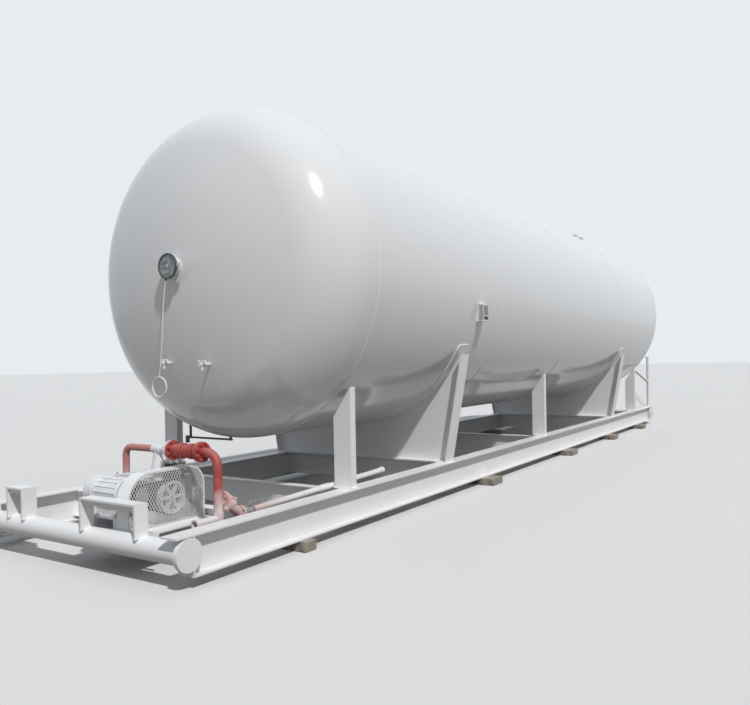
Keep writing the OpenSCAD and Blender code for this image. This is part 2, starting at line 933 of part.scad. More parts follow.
// Check valve that leads down from the riser's branch to the line, a flange at each end and a round bonnet
module check_valve()
{
  drop = branch_z - line_z - 27;
  color(paint) place()
  {
    flange_x(valve_x, branch_z, flange_d, 18);
    rod_x(valve_x + 17, -line_y, branch_z, 40, 30);
    translate([valve_x + 36, -line_y, branch_z - 12]) rotate([0, 90 + atan(drop / 123), 0])
      cylinder(h = norm([drop, 123]), r = 42);
    translate([valve_x + 84, -line_y, branch_z - 27]) sphere(r = 50);
    rod_x(ball_x - 60, -line_y, line_z, 38, 50);
    flange_x(ball_x - 16, line_z, small_flange_d, 16);
  }
}

// Ball valve body with its inlet flange and stem
module ball_valve()
{
  color(steel) place()
  {
    flange_x(ball_x, line_z, small_flange_d, 16);
    rod_x(ball_x + 15, -line_y, line_z, 36, 93);
    rod_z(stem_x, -line_y, line_z + 30, 14, 12);
    rod_z(stem_x, -line_y, line_z + 41, 9, 24);
  }
}

// Cranked lever that turns on the stem
module ball_valve_lever()
{
  t = 6;
  w = 22;
  z = line_z + 43;
  color(steel) place() difference()
  {
    union()
    {
      rod_z(stem_x, -line_y, z, 17, 10);
      side(-line_y - w / 2, w) polygon([[stem_x, z], [stem_x + 24, z], [stem_x + 80, z + 30],
        [stem_x + 208, z + 30], [stem_x + 208, z + 30 + t], [stem_x + 78, z + 30 + t],
        [stem_x + 22, z + t], [stem_x, z + t]]);
    }
    rod_z(stem_x, -line_y, z - 1, 9.5, 40);
  }
}

// Small pipe along the near rail, rising a little: its union, coupling, end cap and its shoe on a cross beam
module rail_line()
{
  x0 = ball_x + 108;
  r = pipe_small / 2;
  length = (line_end - x0 - 10) / cos(line_rise);
  color(paint) place()
  {
    translate([beam_xs[1] - 30, -line_y - 25, beam_top]) cube([60, 50, 24]);
    rod_x(x0, -line_y, line_z, r + 6, 30);
    translate([x0 + 10, -line_y, line_z]) rotate([0, 90 - line_rise, 0])
    {
      cylinder(h = length, r = r);
      translate([0, 0, 1842 - x0]) cylinder(h = 150, r = r + 6);
      translate([0, 0, length - 45]) cylinder(h = 50, r = r + 6);
    }
  }
}

// Solid the size of the front head, for cutting fittings to its surface
module head_cutter()
{
  translate([seam_x, 0, axis_z]) rotate([0, -90, 0]) rotate_extrude($fn = vessel_fn)
  {
    square([vessel_r, head_flange]);
    translate([0, head_flange]) dish(vessel_r, knuckle_r, dish_depth);
  }
}

// Level gauge: neck on the head's centre, flange, round case and its boss
module gauge_body()
{
  r = gauge_d / 2;
  color(steel) place() difference()
  {
    union()
    {
      rod_x(gauge_x + gauge_depth, 0, axis_z, 38, gauge_off + 20);
      rod_x(pole_x - 24, 0, axis_z, 84, 40);
      rod_x(gauge_x, 0, axis_z, r, gauge_depth);
      translate([gauge_x + 4, -r - 46, axis_z - 24]) cube([26, 80, 48]);
      translate([gauge_x, 14, axis_z - r - 12]) cube([12, 20, 30]);
    }
    rod_x(gauge_x - 1, 0, axis_z, r - 14, 15);
    head_cutter();
  }
}

// Dial plate with its pointer, sunk in the case
module gauge_dial()
{
  r = gauge_d / 2 - 15;
  color([0.86, 0.88, 0.88]) place()
  {
    rod_x(gauge_x + 8, 0, axis_z, r, 5.5);
    rod_x(gauge_x + 3, 0, axis_z, 9, 5);
    translate([gauge_x + 4, -3, axis_z - r + 16]) cube([4, 6, r - 20]);
  }
}

// Point on a polyline at a share of its point count, with straight pieces between
function along(pts, t) =
  let (n = len(pts) - 1, i = min(floor(t * n), n - 1), f = t * n - i)
  pts[i] * (1 - f) + pts[i + 1] * f;

// Tube of eight sides swept along a nearly upright route
module swept_cord(pts, d, rings)
{
  sides = 8;
  centres = [for (k = [0 : rings - 1]) along(pts, k / (rings - 1))];
  points = [for (c = centres) for (a = [0 : sides - 1])
    c + [cos(a * 360 / sides), sin(a * 360 / sides), 0] * d / 2];
  walls = [for (k = [0 : rings - 2]) for (a = [0 : sides - 1])
    [k * sides + a, k * sides + (a + 1) % sides, (k + 1) * sides + (a + 1) % sides, (k + 1) * sides + a]];
  top = [[for (a = [sides - 1 : -1 : 0]) a]];
  bottom = [[for (a = [0 : sides - 1]) (rings - 1) * sides + a]];
  polyhedron(points = points, faces = concat(walls, top, bottom));
}

module pull_cord()
{
  color(paint) swept_cord(cord_route, cord_d, cord_rings);
}

// Ring that hangs on the cord, its top just under the cord's end
module pull_ring()
{
  bar = 8;
  far_end = cord_route[len(cord_route) - 1];
  color(paint) translate(far_end - [0, 0, ring_d / 2 + bar]) rotate([0, 90, 0]) rotate_extrude()
    translate([ring_d / 2, 0]) circle(r = bar);
}

// Two small valves on the lower half of the front head
module head_valves()
{
  color(steel) place() difference()
  {
    union() for (p = [[217, axis_z - 892], [-292, axis_z - 912]])
    {
      rod_x(pole_x + 20, p[0], p[1], 14, 200);
      rod_x(pole_x + 50, p[0], p[1], 24, 36);
      rod_z(pole_x + 36, p[0], p[1] - 34, 10, 70);
      rod_y(pole_x + 36, p[0] - 45, p[1] + 30, 7, 90);
    }
    head_cutter();
  }
}

// Small line slung under the front head on two stubs
module sample_line()
{
  x = seam_x - 140;
  z = axis_z - vessel_r - 18.5;
  y0 = 90;
  run = 640;
  color(steel) place() difference()
  {
    union()
    {
      rod_y(x, y0, z, 11, run);
      for (y = [y0 + 20, y0 + run - 30]) rod_z(x, y, z - 11, 14, 300);
      translate([x - 12, y0 + run, z - 60]) cube([24, 40, 76]);
    }
    head_cutter();
  }
}

// Standing bracket that carries the bare data plate
module nameplate_bracket()
{
  x = saddle_front_x + 105;
  w = 130;
  color(steel) place() difference()
  {
    union()
    {
      translate([x, -vessel_r - 40, 1975]) cube([w, 6, 195]);
      for (z = [1975, 2164]) translate([x, -vessel_r - 40, z]) cube([w, 160, 6]);
    }
    rod_x(x - 1, 0, axis_z, vessel_r, w + 2);
  }
}

// Two relief valves on the crown near the plain end
module relief_valves()
{
  color(steel) place() difference()
  {
    union() for (x = [back_seam - 650, back_seam - 200])
    {
      rod_z(x, -90, axis_z + vessel_r - 30, 62, 60);
      rod_z(x, -90, axis_z + vessel_r + 29, 45, relief_h - 69);
      rod_z(x, -90, axis_z + vessel_r + relief_h - 41, 58, 41);
    }
    rod_x(back_seam - 800, 0, axis_z, vessel_r, 800);
  }
}

vessel_shell();
front_head();
back_head();
girth_welds();
front_saddle();
back_saddle();
wear_plates();
near_rail();
far_rail();
front_roll_pipe();
back_roll_pipe();
cross_beams();
stub_posts();
timbers();
winch_hoods();
end_rails();
deck_plate();
deck_bearers();
set_base();
motor_body();
motor_fan_cowl();
motor_terminal_box();
motor_sheave();
drive_belts();
flywheel();
crankcase();
cylinder_block();
belt_guard();
guard_mesh();
back_riser();
tee_branch();
line_strainer();
front_riser();
check_valve();
ball_valve();
ball_valve_lever();
rail_line();
gauge_body();
gauge_dial();
pull_cord();
pull_ring();
head_valves();
sample_line();
nameplate_bracket();
relief_valves();
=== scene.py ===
"""Horizontal pressure tank on a transport skid: the finish of its steel, pipes, timbers and fittings."""

import bpy
import numpy as np
from mathutils import Matrix


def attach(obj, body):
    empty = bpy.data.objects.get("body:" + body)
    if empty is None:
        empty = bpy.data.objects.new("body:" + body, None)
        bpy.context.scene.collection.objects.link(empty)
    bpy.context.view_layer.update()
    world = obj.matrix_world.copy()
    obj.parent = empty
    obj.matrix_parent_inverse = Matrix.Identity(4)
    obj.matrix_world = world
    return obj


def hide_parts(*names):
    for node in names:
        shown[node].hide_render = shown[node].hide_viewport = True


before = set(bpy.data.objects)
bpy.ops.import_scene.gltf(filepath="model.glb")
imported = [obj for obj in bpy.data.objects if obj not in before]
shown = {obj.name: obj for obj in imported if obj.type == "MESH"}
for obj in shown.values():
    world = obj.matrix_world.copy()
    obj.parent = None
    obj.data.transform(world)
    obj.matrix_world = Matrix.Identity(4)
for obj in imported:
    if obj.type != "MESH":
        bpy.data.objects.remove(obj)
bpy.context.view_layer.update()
steelwork = "tank_and_skid"

# Camera
# Stands at a person's eye height off the skid's near front corner and looks along the tank. Its place in
# metres, its turn in radians and its lens in pixels of a picture 750 wide were worked out from the outlines
# of the vessel, the near rail and the posts.
picture_px, sensor_mm = 750, 36.0
eye = np.array([-10.9614, -5.2184, 1.6125])
turn, tilt, lean = 0.5742, -0.0103, 0.0184
focal_px, centre_drop_px = 722.67, 16.42
ahead = np.array([np.cos(tilt) * np.cos(turn), np.cos(tilt) * np.sin(turn), np.sin(tilt)])
right = np.array([np.sin(turn), -np.cos(turn), 0.0])
down = np.cross(ahead, right)
right, down = np.cos(lean) * right + np.sin(lean) * down, np.cos(lean) * down - np.sin(lean) * right
lens = bpy.data.cameras.new("photo_lens")
lens.sensor_width = sensor_mm
lens.lens = focal_px / picture_px * sensor_mm
lens.shift_y = centre_drop_px / picture_px
lens.clip_end = 400
camera = bpy.data.objects.new("photo_camera", lens)
turned_to = Matrix([[right[i], -down[i], -ahead[i]] for i in range(3)])
camera.matrix_world = Matrix.Translation(eye) @ turned_to.to_4x4()
bpy.context.scene.collection.objects.link(camera)
bpy.context.scene.camera = camera


# Pull cord
# A light braided cord hangs from an eye under the level gauge and follows the head down, a little to the
# back. Its tube is swept along the route in short rings, and the pull ring it ends in goes with it.
def square_to(direction):
    """Two unit directions square to a direction and to each other, then the direction itself."""
    d = np.asarray(direction, float) / np.linalg.norm(direction)
    a = np.cross(d, [0, 0, 1.0] if abs(d[2]) < 0.9 else [1.0, 0, 0])
    a /= np.linalg.norm(a)
    return a, np.cross(d, a), d


def tube_rings(path, radius, sides=12):
    """Closed tube round a path: ring k is path[k] plus radius times the unit circle square to the path
    there. The circle's first direction is carried along, so the tube doesn't twist."""
    path = np.asarray(path, float)
    along = np.gradient(path, axis=0)
    along /= np.linalg.norm(along, axis=1)[:, None]
    start = square_to(along[0])[0]
    first = np.empty_like(path)
    for k, t in enumerate(along):
        start = start - t * (start @ t)
        start /= np.linalg.norm(start)
        first[k] = start
    second = np.cross(along, first)
    a = np.linspace(0, 2 * np.pi, sides, endpoint=False)
    radius = np.broadcast_to(np.asarray(radius, float), (len(path),))
    return path[:, None] + radius[:, None, None] * (np.cos(a)[None, :, None] * first[:, None]
                                                    + np.sin(a)[None, :, None] * second[:, None])


def skin(grid, caps=True):
    """Vertices and faces of rings of points: quads between neighbours, closed round each ring, with a flat
    face over each end when caps is set. Rings run anticlockwise seen from their far end, so the faces point
    away from the middle line."""
    rows, cols = grid.shape[:2]
    i, j = np.meshgrid(np.arange(rows - 1), np.arange(cols), indexing="ij")
    k = (j + 1) % cols
    quads = np.stack([i * cols + j, i * cols + k, (i + 1) * cols + k, (i + 1) * cols + j], -1).reshape(-1, 4)
    faces = quads.tolist()
    if caps:
        faces.append(list(range(cols))[::-1])
        faces.append(list(range((rows - 1) * cols, rows * cols)))
    return grid.reshape(-1, 3), faces


def piece(name, parts, finish, body=steelwork, bevel=0.0, sharp=38):
    """One object from a list of (vertices, faces), with its finish, riding on a body. A bevel takes its edges
    off, and edges sharper than the angle in degrees stay crisp."""
    points, faces, shift = [], [], 0
    for v, f in parts:
        points.append(np.asarray(v, float))
        faces += [[q + shift for q in face] for face in f]
        shift += len(v)
    mesh = bpy.data.meshes.new(name)
    mesh.from_pydata(np.concatenate(points).tolist(), [], faces)
    mesh.validate()
    mesh.polygons.foreach_set("use_smooth", np.ones(len(mesh.polygons), bool))
    mesh.set_sharp_from_angle(angle=np.radians(sharp))
    mesh.materials.append(finish)
    made = bpy.data.objects.new(name, mesh)
    bpy.context.scene.collection.objects.link(made)
    if bevel:
        taken = made.modifiers.new("edges", "BEVEL")
        taken.width, taken.segments, taken.limit_method = bevel, 2, "ANGLE"
    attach(made, body)
    return made


class Term:
    """A number that changes over a surface. Arithmetic on it adds Math nodes."""

    def __init__(self, paint, socket):
        self.paint, self.socket = paint, socket

    def _math(self, operation, other, flipped=False):
        pair = (other, self) if flipped else (self, other)
        return self.paint.add("ShaderNodeMath", {"operation": operation}, {0: pair[0], 1: pair[1]})

    def __add__(self, other):
        return self._math("ADD", other)

    def __sub__(self, other):
        return self._math("SUBTRACT", other)

    def __rsub__(self, other):
        return self._math("SUBTRACT", other, True)

    def __mul__(self, other):
        return self._math("MULTIPLY", other)

    __radd__ = __add__


class Paint:
    """One material: a Principled shader and the nodes that vary it over a surface."""

    def __init__(self, name, **fixed):
        self.material = bpy.data.materials.new(name)
        self.material.use_nodes = True
        self.tree = self.material.node_tree
        self.shader = self.tree.nodes["Principled BSDF"]
        for socket, value in fixed.items():
            self.shader.inputs[socket.replace("_", " ").title()].default_value = value
        self.place = self.add("ShaderNodeTexCoord", {}, {}, "Object")

    def add(self, kind, settings, values, output=0):
        """A node of this kind with its settings and its sockets' values or links; returns one output."""
        node = self.tree.nodes.new(kind)
        for key, value in settings.items():
            setattr(node, key, value)
        for key, value in values.items():
            if isinstance(value, Term):
                self.tree.links.new(value.socket, node.inputs[key])
            else:
                node.inputs[key].default_value = value
        return Term(self, node.outputs[output])

    def noise(self, scale, detail=3.0, rough=0.5, place=None):
        return self.add("ShaderNodeTexNoise", {}, {"Vector": place or self.place, "Scale": scale,
                                                   "Detail": detail, "Roughness": rough}, "Fac")

    def stretched(self, x, y, z):
        """Object coordinates scaled along each axis: a small number draws a pattern out that way."""
        return self.add("ShaderNodeMapping", {}, {"Vector": self.place, "Scale": (x, y, z)})

    def step(self, value, low, high):
        """0 below low, 1 above high, with a smooth rise between."""
        return self.add("ShaderNodeMapRange", {"interpolation_type": "SMOOTHSTEP", "clamp": True},
                        {"Value": value, "From Min": low, "From Max": high})

    def mix(self, share, a, b):
        """Colour a where share is 0 and b where it is 1."""
        a, b = (c if isinstance(c, Term) else (*c, 1) for c in (a, b))
        return self.add("ShaderNodeMix", {"data_type": "RGBA"}, {0: share, 6: a, 7: b}, 2)

    def axis(self, name):
        return self.add("ShaderNodeSeparateXYZ", {}, {"Vector": self.place}, name)

    def facing(self, name):
        normal = self.add("ShaderNodeNewGeometry", {}, {}, "Normal")
        return self.add("ShaderNodeSeparateXYZ", {}, {"Vector": normal}, name)

    def feed(self, **links):
        for socket, value in links.items():
            self.tree.links.new(value.socket, self.shader.inputs[socket.replace("_", " ").title()])

    def bump(self, height, distance, strength=1.0):
        bumped = self.add("ShaderNodeBump", {},
                          {"Height": height, "Distance": distance, "Strength": strength}, "Normal")
        self.tree.links.new(bumped.socket, self.shader.inputs["Normal"])


def dress(finish, *names):
    """The finish on the nodes of these names, in place of what they came with."""
    for name in names:
        node = shown[name]
        node.data.materials.clear()
        node.data.materials.append(finish)


cord_paint = Paint("white_braid", roughness=0.75)
strand = cord_paint.add("ShaderNodeTexWave", {"bands_direction": "DIAGONAL"},
                        {"Vector": cord_paint.place, "Scale": 130.0, "Distortion": 1.5}, "Fac")
cord_paint.feed(base_color=cord_paint.mix(strand, (0.74, 0.74, 0.73), (0.92, 0.92, 0.91)))
cord_paint.bump(strand, 0.0006, 0.6)

cord_d = 0.010
cord_route = np.array([[-6.388, 0.024, 2.395], [-6.390, 0.038, 2.347], [-6.394, 0.062, 2.163],
                       [-6.396, 0.079, 1.886], [-6.392, 0.120, 1.589], [-6.388, 0.142, 1.512]])
knots = np.arange(len(cord_route))
fine = np.linspace(0, len(cord_route) - 1, 61)
cord_path = np.stack([np.interp(fine, knots, cord_route[:, c]) for c in range(3)], 1)
pull_cord = piece("hanging_cord", [skin(tube_rings(cord_path, cord_d / 2))], cord_paint.material)
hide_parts("pull_cord")
dress(cord_paint.material, "pull_ring")

# Vessel
# Rolled courses and two pressed heads, welded and sprayed gloss white. The plate is not quite even, so
# reflections waver. Faces turned down are painted darker and browner. This is partly thin dust, and partly
# painted shade with a painted reflection of the dark ground beneath.
tank_white = Paint("tank_gloss_white", roughness=0.15, coat_weight=0.30, coat_roughness=0.05)
haze = tank_white.noise(0.55, 4.0)
specks = tank_white.step(tank_white.noise(38.0, 2.0), 0.66, 0.74)
low_side = tank_white.step(tank_white.facing("Z") * -1.0, 0.05, 0.9)
runs = tank_white.noise(3.0, 3.0, 0.5, tank_white.stretched(1.0, 1.0, 0.12))
clean = tank_white.mix(haze, (0.815, 0.82, 0.828), (0.86, 0.86, 0.857))
# Downward faces darken: partly dust, partly painted shade and a painted reflection of dark ground.
dust_and_painted_shade = tank_white.mix(low_side * 0.30, clean, (0.74, 0.72, 0.68))
streaked = tank_white.mix(tank_white.step(runs, 0.55, 0.80) * 0.10, dust_and_painted_shade, (0.70, 0.69, 0.66))
tank_white.feed(base_color=tank_white.mix(specks * 0.10, streaked, (0.60, 0.56, 0.50)),
                roughness=0.11 + tank_white.noise(5.0) * 0.08)
ripple = tank_white.noise(1.1, 2.0) * 0.9 + tank_white.noise(60.0, 2.0) * 0.010
tank_white.bump(ripple, 0.012, 0.5)
dress(tank_white.material, "vessel_shell", "front_head", "back_head", "wear_plates")

weld_white = Paint("painted_weld", roughness=0.30)
weld_ripple = weld_white.noise(110.0, 2.0)
weld_white.feed(base_color=weld_white.mix(weld_ripple, (0.86, 0.865, 0.87), (0.95, 0.95, 0.95)))
weld_white.bump(weld_ripple, 0.004, 0.8)
dress(weld_white.material, "girth_welds")

# Skid steelwork
# Wide-flange rails, roll pipes, cross beams, saddles, posts and plates, welded up and sprayed satin white.
# Dust settles on what faces up and is thrown against the lower half of the rails, and thin rust runs and
# small rusted chips break the white.
skid_white = Paint("skid_satin_white", roughness=0.36)
patch = skid_white.noise(1.8, 5.0)
splash = 1.0 - skid_white.step(skid_white.axis("Z") + skid_white.noise(9.0) * 0.10, 0.10, 0.24)
dust_patch = skid_white.step(skid_white.noise(4.0, 5.0), 0.45, 0.75)
settled = skid_white.step(skid_white.facing("Z"), 0.6, 0.95) * dust_patch
sprayed = skid_white.mix(patch, (0.87, 0.875, 0.88), (0.92, 0.92, 0.915))
floury = skid_white.mix(settled * 0.25, sprayed, (0.72, 0.68, 0.61))
thrown = skid_white.mix(splash * 0.35, floury, (0.66, 0.62, 0.56))
wept = skid_white.step(skid_white.noise(5.0, 4.0, 0.6, skid_white.stretched(1.0, 1.0, 0.10)), 0.62, 0.80)
streaky = skid_white.mix(wept * 0.16, thrown, (0.62, 0.50, 0.40))
chips = skid_white.step(skid_white.noise(55.0, 3.0), 0.70, 0.76)
skid_white.feed(base_color=skid_white.mix(chips * 0.25, streaky, (0.40, 0.27, 0.20)),
                roughness=0.30 + patch * 0.16)
skid_white.bump(skid_white.noise(7.0, 3.0) * 0.6 + skid_white.noise(90.0, 2.0) * 0.05, 0.003, 0.5)
dress(skid_white.material, "front_saddle", "back_saddle", "near_rail", "far_rail", "front_roll_pipe",
      "back_roll_pipe", "cross_beams", "stub_posts", "winch_hoods", "end_rails", "deck_plate", "deck_bearers",
      "set_base", "belt_guard", "nameplate_bracket")


def weld_run(corners, radius=0.0055, pitch=0.007):
    """Bead along a chain of points given from the skid's datum: rings every pitch, whose radius is the given
    one times one plus a small sine of the step number and a slower sine of the length."""
    corners = np.asarray(corners, float) + datum
    lengths = np.concatenate([[0], np.cumsum(np.linalg.norm(np.diff(corners, axis=0), axis=1))])
    s = np.linspace(0, lengths[-1], max(8, int(lengths[-1] / pitch)))
    path = np.stack([np.interp(s, lengths, corners[:, c]) for c in range(3)], 1)
    k = np.arange(len(s))
    return skin(tube_rings(path, radius * (1 + 0.16 * np.sin(k * 2.3) + 0.08 * np.sin(s * 21.0)), 6))


def wear_plate_edge(x, plate_r=1.6805, corner=0.055, half=0.151, end_z=1.6978):
    """Closed chain round one curved wear plate: two arcs about the vessel's axis, joined over each end by two
    quarter circles that are drawn in the side view and then laid on the plate's cylinder."""
    low = np.arccos((axis_z - end_z + corner) / plate_r)
    sweep = np.linspace(-low, low, 60)
    a = np.radians(np.linspace(0, 90, 8))
    corner_x, corner_z = half - corner + corner * np.cos(a), end_z - corner + corner * np.sin(a)
    corner_y = np.sqrt(plate_r ** 2 - (axis_z - corner_z) ** 2)
    arc = np.stack([np.full(60, half), plate_r * np.sin(sweep), axis_z - plate_r * np.cos(sweep)], 1)
    bend = np.stack([corner_x, corner_y, corner_z], 1)
    side = np.concatenate([arc, bend, bend[::-1] * (-1, 1, 1)])
    return np.concatenate([side, side * (-1, -1, 1), side[:1]]) + (x, 0, 0)


datum = np.array([-7.4, 0.0, 0.09])
vessel_r, axis_z = 1.6765, 2.437
rail_top, base_top, foot_top, web_foot = 0.3125, 0.331, 0.3245, 0.332
saddle_xs, post_xs, skid_ends = (4.11, 11.39), (2.06, 7.37, 13.205), (0.0, 14.8)
web_sides, base_sides = (-0.0115, 0.0115), (-0.101, 0.101)
base_half, base_end_y, lap_from_y, lap_to_y = 0.1, 1.287, 1.16, 1.286
web_end_y, flange_foot_y, flange_foot_z, flange_top_y, flange_top_z = 1.265, 1.268, 0.335, 1.498, 1.560
post_outer_y, post_inner_y, post_wide = 1.293, 1.093, 0.085
plate_outer_y, plate_inner_y, plate_before, plate_past = 1.3175, 1.0935, 0.0145, 0.0995
beads = []
for x in saddle_xs:
    beads.append(weld_run(wear_plate_edge(x), 0.0065, 0.010))
    for side in (-1, 1):
        beads.append(weld_run([[x - base_half, side * base_end_y, base_top],
                               [x + base_half, side * base_end_y, base_top]]))
        for edge in base_sides:
            beads.append(weld_run([[x + edge, side * lap_from_y, rail_top],
                                   [x + edge, side * lap_to_y, rail_top]], 0.005))
        for dx in web_sides:
            beads.append(weld_run([[x + dx, side * flange_foot_y, flange_foot_z],
                                   [x + dx, side * flange_top_y, flange_top_z]], 0.005, 0.010))
    for dx in web_sides:
        beads.append(weld_run([[x + dx, -web_end_y, web_foot], [x + dx, web_end_y, web_foot]], 0.005, 0.012))
for x in post_xs:
    for side in (-1, 1):
        a, b, right_x = side * post_outer_y, side * post_inner_y, x + post_wide
        beads.append(weld_run([[x, a, foot_top], [right_x, a, foot_top], [right_x, b, foot_top],
                               [x, b, foot_top], [x, a, foot_top]], 0.005))
        a, b, left_x, right_x = side * plate_outer_y, side * plate_inner_y, x - plate_before, x + plate_past
        beads.append(weld_run([[left_x, b, rail_top], [left_x, a, rail_top], [right_x, a, rail_top],
                               [right_x, b, rail_top]], 0.004))
pipe_r, pipe_z, cap_y = 0.0905, 0.171, 1.282
turn_round = np.linspace(0, 2 * np.pi, 41)
for x in skid_ends:
    for y in (-cap_y, cap_y):
        beads.append(weld_run(np.stack([x + pipe_r * np.sin(turn_round), np.full(41, y),
                                        pipe_z + pipe_r * np.cos(turn_round)], 1), 0.005))
on_pipe = np.radians(np.linspace(-38, 20, 16))
hood_side_faces = (-0.851, -0.833, -0.209, -0.191, 0.589, 0.607, 0.803, 0.821)
for y in hood_side_faces:
    beads.append(weld_run(np.stack([pipe_r * np.sin(on_pipe), np.full(16, y),
                                    pipe_z + pipe_r * np.cos(on_pipe)], 1), 0.0045))
piece("fillet_welds", beads, weld_white.material)

# Timbers
# Sawn softwood blocks laid across under each rail, their arrises broken off in handling, grey from the
# weather and opened in dark checks.
wood = Paint("weathered_timber", roughness=0.85)
grain = wood.noise(2.2, 6.0, 0.62, wood.stretched(26.0, 1.5, 26.0))
age = wood.noise(6.0, 3.0)
check = wood.step(wood.noise(1.6, 3.0, 0.6, wood.stretched(60.0, 3.0, 9.0)), 0.60, 0.70)
sawn = wood.mix(grain, (0.20, 0.145, 0.095), (0.42, 0.33, 0.23))
silvered = wood.mix(0.35 + wood.step(age, 0.35, 0.65) * 0.5, sawn, (0.40, 0.385, 0.35))
wood.feed(base_color=wood.mix(check * 0.7, silvered, (0.06, 0.045, 0.035)))
wood.bump(grain - check * 0.8, 0.004, 0.9)


def sawn_block(centre, size, seed, rings=26, around=36):
    """Block drawn along Y: ring j is a square-ish curve, the unit circle to a power that makes its sides
    nearly flat, scaled to half the size, drawn in at both ends and worn by sums of sines of the seed."""
    t = np.linspace(-1, 1, rings)
    a = (np.arange(around) + 0.5) / around * 2 * np.pi
    flat = 0.10
    cx, cz = (np.sign(f(a)) * np.abs(f(a)) ** flat for f in (np.cos, np.sin))
    drawn_in = 1 - 0.05 * np.clip((np.abs(t) - 0.97) / 0.03, 0, 1) ** 2
    wear = 0.0014 * (np.sin(5 * a[None] + 9 * t[:, None] + seed)
                     + np.sin(3 * a[None] - 14 * t[:, None] + 2 * seed))
    half = np.asarray(size) / 2
    x = (half[0] * drawn_in[:, None] - 0.003 + wear) * cx[None]
    z = (half[2] * drawn_in[:, None] - 0.001 + wear * 0.3) * cz[None]
    z = np.clip(z, -half[2], half[2])
    y = np.broadcast_to((t * (half[1] - 0.001))[:, None], x.shape) + 0.002 * np.sin(seed + 2.0) * cx[None]
    y = np.clip(y, -half[1], half[1])
    return skin(np.stack([x, y, z], -1)[:, ::-1] + centre)


timber_h, under_rail_y = 0.09, 1.2405
blocks = []
for i, (x, wide, deep) in enumerate(((1.305, 0.16, 0.30), (5.10, 0.30, 0.48), (8.29, 0.30, 0.48),
                                     (10.90, 0.30, 0.48), (13.30, 0.30, 0.48))):
    for side in (-1, 1):
        centre = (x + datum[0], side * under_rail_y, timber_h / 2)
        blocks.append(sawn_block(centre, (wide, deep, timber_h), 1.7 * i + side))
bearing_blocks = piece("bearing_timbers", blocks, wood.material, sharp=60)
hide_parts("timbers")

# Transfer set
# Electric motor and spoked flywheel in white enamel, a grey crankcase, a cast cylinder and a sheave of bare
# machined steel. The set is bolted to its base frame, and oil and belt dust have greyed the enamel in places.
enamel = Paint("machine_enamel", roughness=0.28)
oily = enamel.noise(14.0, 4.0)
greyed = enamel.step(oily, 0.5, 0.78) * 0.45
enamel.feed(base_color=enamel.mix(greyed, (0.83, 0.835, 0.84), (0.52, 0.51, 0.49)))
enamel.bump(enamel.noise(120.0, 2.0), 0.0015, 0.4)
dress(enamel.material, "motor_body", "motor_fan_cowl", "motor_terminal_box", "flywheel", "tee_branch")
grey_enamel = Paint("grey_enamel", roughness=0.40)
worn = grey_enamel.noise(12.0, 5.0)
grey_enamel.feed(base_color=grey_enamel.mix(worn, (0.17, 0.175, 0.18), (0.34, 0.345, 0.35)),
                 roughness=0.34 + worn * 0.2)
grey_enamel.bump(grey_enamel.noise(140.0, 2.0), 0.0015, 0.4)
dress(grey_enamel.material, "crankcase")
bare = Paint("machined_steel", metallic=0.85, roughness=0.38)
bare.feed(base_color=bare.mix(bare.noise(30.0, 4.0), (0.34, 0.35, 0.37), (0.58, 0.59, 0.61)))
bare.bump(bare.noise(200.0, 2.0), 0.001, 0.3)
dress(bare.material, "motor_sheave")
cast_grey = Paint("grey_cast_iron", roughness=0.55)
sooty = cast_grey.noise(18.0, 5.0)
cast_grey.feed(base_color=cast_grey.mix(sooty, (0.085, 0.088, 0.092), (0.20, 0.205, 0.21)),
               roughness=0.42 + sooty * 0.25)
cast_grey.bump(cast_grey.noise(160.0, 3.0), 0.0015, 0.6)
dress(cast_grey.material, "cylinder_block")
belt_black = Paint("belt_rubber", roughness=0.7)
belt_black.feed(base_color=belt_black.mix(belt_black.noise(40.0), (0.018, 0.018, 0.02), (0.05, 0.05, 0.05)))
dress(belt_black.material, "drive_belts")
zinc = Paint("zinc_plated", metallic=0.75, roughness=0.34)
zinc.feed(base_color=zinc.mix(zinc.noise(60.0, 3.0), (0.46, 0.46, 0.45), (0.70, 0.70, 0.68)))
zinc.bump(zinc.noise(260.0, 2.0), 0.0008, 0.3)


def turned(profile, centre, direction, sides=32):
    """Solid of revolution: profile rows are (distance along, radius), and ring k is that circle about the
    direction, with six sides for a nut. The profile runs along the direction, closed at both ends."""
    a, b, d = square_to(direction)
    t = (np.arange(sides) + 0.5) / sides * 2 * np.pi
    profile = np.asarray(profile, float)
    grid = (np.asarray(centre, float) + profile[:, 0, None, None] * d
            + profile[:, 1, None, None] * (np.cos(t)[None, :, None] * a + np.sin(t)[None, :, None] * b))
    return skin(grid)


def hex_head(centre, direction, across, height):
    """Round washer and six-sided head, whose top corners are turned off."""
    r = across / 2 / np.cos(np.pi / 6)
    washer = turned([(-0.001, r * 0.96), (-0.001, r * 1.16), (height * 0.22, r * 1.16),
                     (height * 0.22, r * 0.9)], centre, direction, 16)
    head = turned([(height * 0.18, r * 0.9), (height * 0.2, r), (height * 0.86, r), (height, r * 0.84)],
                  centre, direction, 6)
    return [washer, head]


def stud_end(centre, direction, radius, height):
    """Short threaded end: the radius goes in and out by a twelfth at every turn of the thread."""
    n = 11
    along = np.linspace(0, height, n)
    r = radius * (1 - 0.08 * (np.arange(n) % 2))
    return turned(np.stack([along, r], 1), centre, direction, 10)


def bolt_ring(centre, axis, radius, count, across, height, phase=45.0, stud=0.0):
    """Hex heads evenly round an axis, all pointing along it, with a stud end through each one when wanted."""
    a, b, d = square_to(axis)
    parts = []
    for k in range(count):
        t = np.radians(phase + k * 360.0 / count)
        place = np.asarray(centre, float) + radius * (np.cos(t) * a + np.sin(t) * b)
        parts += hex_head(place, axis, across, height)
        if stud:
            parts.append(stud_end(place + height * 0.9 * d, axis, across * 0.29, stud))
    return parts


